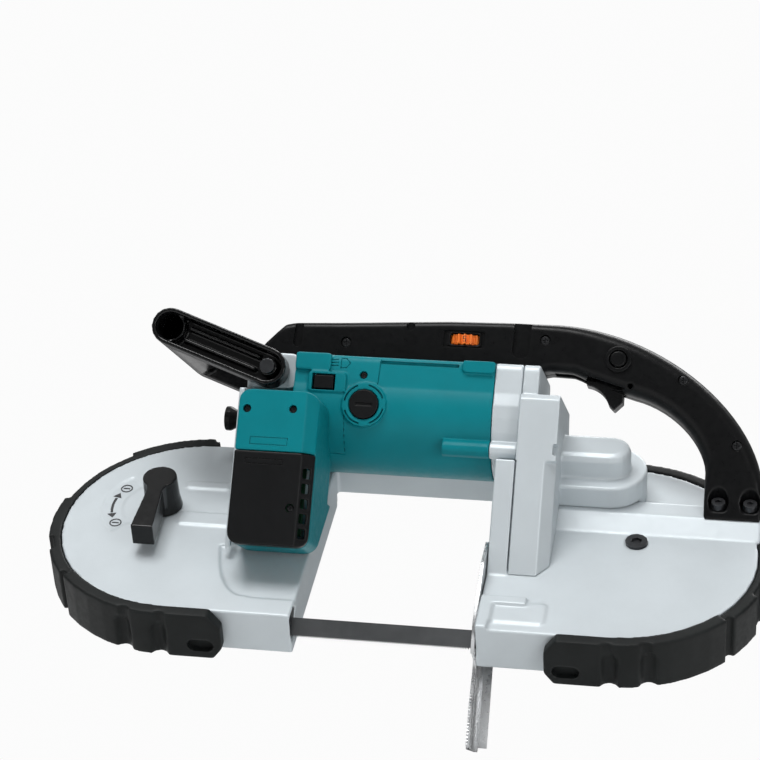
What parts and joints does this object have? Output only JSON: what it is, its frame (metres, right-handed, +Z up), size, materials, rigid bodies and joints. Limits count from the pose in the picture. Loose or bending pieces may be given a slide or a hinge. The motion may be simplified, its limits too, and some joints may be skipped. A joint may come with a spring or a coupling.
{
  "type": "portable band saw",
  "caption": "Hand-held deep-cut band saw with a tilted band-wheel frame, geared motor, D-grip, front loop handle and sliding stop plate.",
  "frame": {"origin": "middle of the cutting span, on the blade's tooth line, halfway through the blade's thickness", "axes": "+X along the blade towards the drive wheel, +Y away from the user's side, +Z up, against the feed. The wheel plane is turned 45 degrees about X: its normal towards the closed face is (0, -0.7071, 0.7071)."},
  "size_m": [0.5112, 0.1848, 0.307],
  "materials": {
    "silver_paint": "satin",
    "teal_plastic": "satin, fine texture",
    "black_plastic": "satin",
    "black_rubber": "matte",
    "steel": "zinc plated",
    "dark_steel": "black oxide",
    "blade_steel": "blued",
    "bronze": "sintered",
    "copper": "varnished windings",
    "carbon": "matte",
    "orange_plastic": "satin",
    "circuit_board": "lacquered",
    "lens": "clear"
  },
  "bodies": {
    "frame": {"main_frame": "silver_paint", "work_lamp": "lens", "gear_case": "silver_paint", "gear_housing": "silver_paint", "rear_cover": "teal_plastic", "vent_cover": "black_plastic", "control_board": "circuit_board", "drive_axle": "steel", "blade": "blade_steel", "left_blade_guide": "dark_steel", "right_blade_guide": "dark_steel", "layshaft_left_bearing": "steel", "layshaft_right_bearing": "steel", "spur_pinion_bearing": "steel", "motor_housing": "teal_plastic", "stator": "dark_steel", "armature_front_bearing": "steel", "armature_rear_bearing": "steel", "brush_cap_front": "black_plastic", "carbon_brush_front": "carbon", "brush_cap_back": "black_plastic", "carbon_brush_back": "carbon", "handle_front_half": "black_plastic", "handle_back_half": "black_plastic", "switch_block": "black_plastic", "handle_bolt_left": "dark_steel", "handle_bolt_right": "dark_steel", "loop_handle": "black_plastic", "loop_handle_bolt": "steel", "cord_guard": "black_rubber", "front_bumper_left": "black_rubber", "rim_bumper_left": "black_rubber", "front_bumper_right": "black_rubber", "rim_bumper_right": "black_rubber", "frame_bolt": "dark_steel", "stop_screw_lower": "dark_steel", "stop_screw_upper": "dark_steel", "tension_spring": "steel"},
    "band_wheel": {"drive_wheel": "silver_paint", "drive_tyre": "black_rubber", "drive_wheel_bush": "bronze", "wheel_gear": "steel"},
    "return_wheel": {"idler_wheel": "silver_paint", "idler_tyre": "black_rubber", "idler_wheel_bush": "bronze"},
    "carriage": {"tension_carriage": "steel"},
    "lever": {"tension_lever": "black_plastic"},
    "counter_shaft": {"crown_wheel": "steel", "spur_pinion": "steel"},
    "first_shaft": {"layshaft": "steel", "first_gear": "steel"},
    "rotor": {"armature": "copper", "cooling_fan": "black_plastic"},
    "left_roller": {"left_backup_roller": "dark_steel"},
    "right_roller": {"right_backup_roller": "dark_steel"},
    "work_stop": {"stop_plate": "steel"},
    "switch_trigger": {"trigger": "black_plastic"},
    "switch_lock": {"lock_button": "black_plastic"},
    "dial": {"speed_dial": "orange_plastic"},
    "lamp_rocker": {"lamp_switch": "black_plastic"}
  },
  "joints": [
    {"name": "drive_wheel_spin", "type": "hinge", "parent": "frame", "child": "band_wheel", "pos_m": [0.151, 0.0594, 0.0659], "axis": [0, -0.7071, 0.7071], "continuous": true},
    {"name": "tension_lever_turn", "type": "hinge", "parent": "frame", "child": "lever", "pos_m": [-0.1785, 0.0746, 0.0811], "axis": [0, -0.7071, 0.7071], "range_deg": [-180, 0]},
    {"name": "tension_slide", "type": "slide", "parent": "frame", "child": "carriage", "axis": [1, 0, 0], "range_m": [0, 0.005], "deforming": ["tension_spring"]},
    {"name": "idler_wheel_spin", "type": "hinge", "parent": "carriage", "child": "return_wheel", "pos_m": [-0.1555, 0.0594, 0.0659], "axis": [0, -0.7071, 0.7071], "continuous": true},
    {"name": "counter_shaft_spin", "type": "hinge", "parent": "frame", "child": "counter_shaft", "pos_m": [0.1395, 0.10642, 0.11292], "axis": [0, -0.7071, 0.7071], "continuous": true},
    {"name": "layshaft_spin", "type": "hinge", "parent": "frame", "child": "first_shaft", "pos_m": [0.1, 0.07601, 0.14333], "axis": [1, 0, 0], "continuous": true},
    {"name": "armature_spin", "type": "hinge", "parent": "frame", "child": "rotor", "pos_m": [0, 0.078, 0.1685], "axis": [1, 0, 0], "continuous": true},
    {"name": "left_roller_spin", "type": "hinge", "parent": "frame", "child": "left_roller", "pos_m": [-0.0715, 0, 0.0169], "axis": [0, 1, 0], "continuous": true},
    {"name": "right_roller_spin", "type": "hinge", "parent": "frame", "child": "right_roller", "pos_m": [0.0715, 0, 0.0169], "axis": [0, 1, 0], "continuous": true},
    {"name": "stop_plate_slide", "type": "slide", "parent": "frame", "child": "work_stop", "axis": [0, 0, 1], "range_m": [0, 0.03]},
    {"name": "trigger_pull", "type": "slide", "parent": "frame", "child": "switch_trigger", "axis": [0, 0, 1], "range_m": [0, 0.006]},
    {"name": "lock_button_press", "type": "slide", "parent": "frame", "child": "switch_lock", "axis": [0, 1, 0], "range_m": [0, 0.0035]},
    {"name": "speed_dial_turn", "type": "hinge", "parent": "frame", "child": "dial", "pos_m": [0.0293, 0.0794, 0.226], "axis": [0, 0, 1], "range_deg": [-150, 150]},
    {"name": "lamp_switch_rock", "type": "hinge", "parent": "frame", "child": "lamp_rocker", "pos_m": [-0.064, 0.041, 0.1835], "axis": [0, 0, 1], "range_deg": [-5, 5]}
  ],
  "couplings": [
    {"joint": "tension_lever_turn", "follows": "tension_slide", "rad_per_m": -628.32},
    {"joint": "idler_wheel_spin", "follows": "drive_wheel_spin", "ratio": 1},
    {"joint": "counter_shaft_spin", "follows": "drive_wheel_spin", "ratio": -6.2857},
    {"joint": "layshaft_spin", "follows": "drive_wheel_spin", "ratio": 14.143},
    {"joint": "armature_spin", "follows": "drive_wheel_spin", "ratio": -45.964},
    {"joint": "left_roller_spin", "follows": "drive_wheel_spin", "ratio": -23.333},
    {"joint": "right_roller_spin", "follows": "drive_wheel_spin", "ratio": -23.333}
  ]
}
